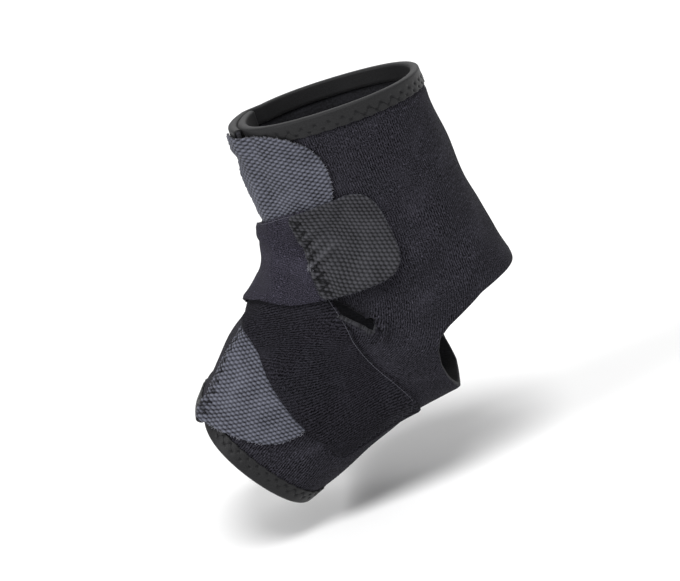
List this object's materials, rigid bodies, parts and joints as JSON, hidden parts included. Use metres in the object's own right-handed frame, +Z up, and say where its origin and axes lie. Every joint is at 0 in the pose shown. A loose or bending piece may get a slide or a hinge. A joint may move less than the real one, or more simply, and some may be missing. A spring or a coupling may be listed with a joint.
{
  "type": "ankle brace",
  "caption": "Wrap-around padded ankle sleeve with an open heel, crossed straps over the instep and rounded grip tabs at the front.",
  "frame": {"origin": "centre of the wearer's ankle joint, on the middle line of the sleeve", "axes": "+Z up the leg, toes towards -Y, +X the outer side of a left ankle"},
  "size_m": [0.0901, 0.1647, 0.1792],
  "materials": {
    "sleeve_fabric": "matte brushed loop",
    "strap_fabric": "matte brushed loop",
    "edge_tape": "matte fine weave",
    "grip_weave": "coarse basket weave",
    "grip_weave_dark": "coarse basket weave"
  },
  "bodies": {
    "root": {"sleeve": "sleeve_fabric", "rim_binding": "edge_tape", "foot_binding": "edge_tape", "upper_hook_tab": "grip_weave", "lower_hook_tab": "grip_weave", "outer_strap": "strap_fabric", "outer_strap_tab": "grip_weave_dark", "inner_strap": "strap_fabric", "inner_strap_tab": "grip_weave_dark"}
  },
  "joints": []
}
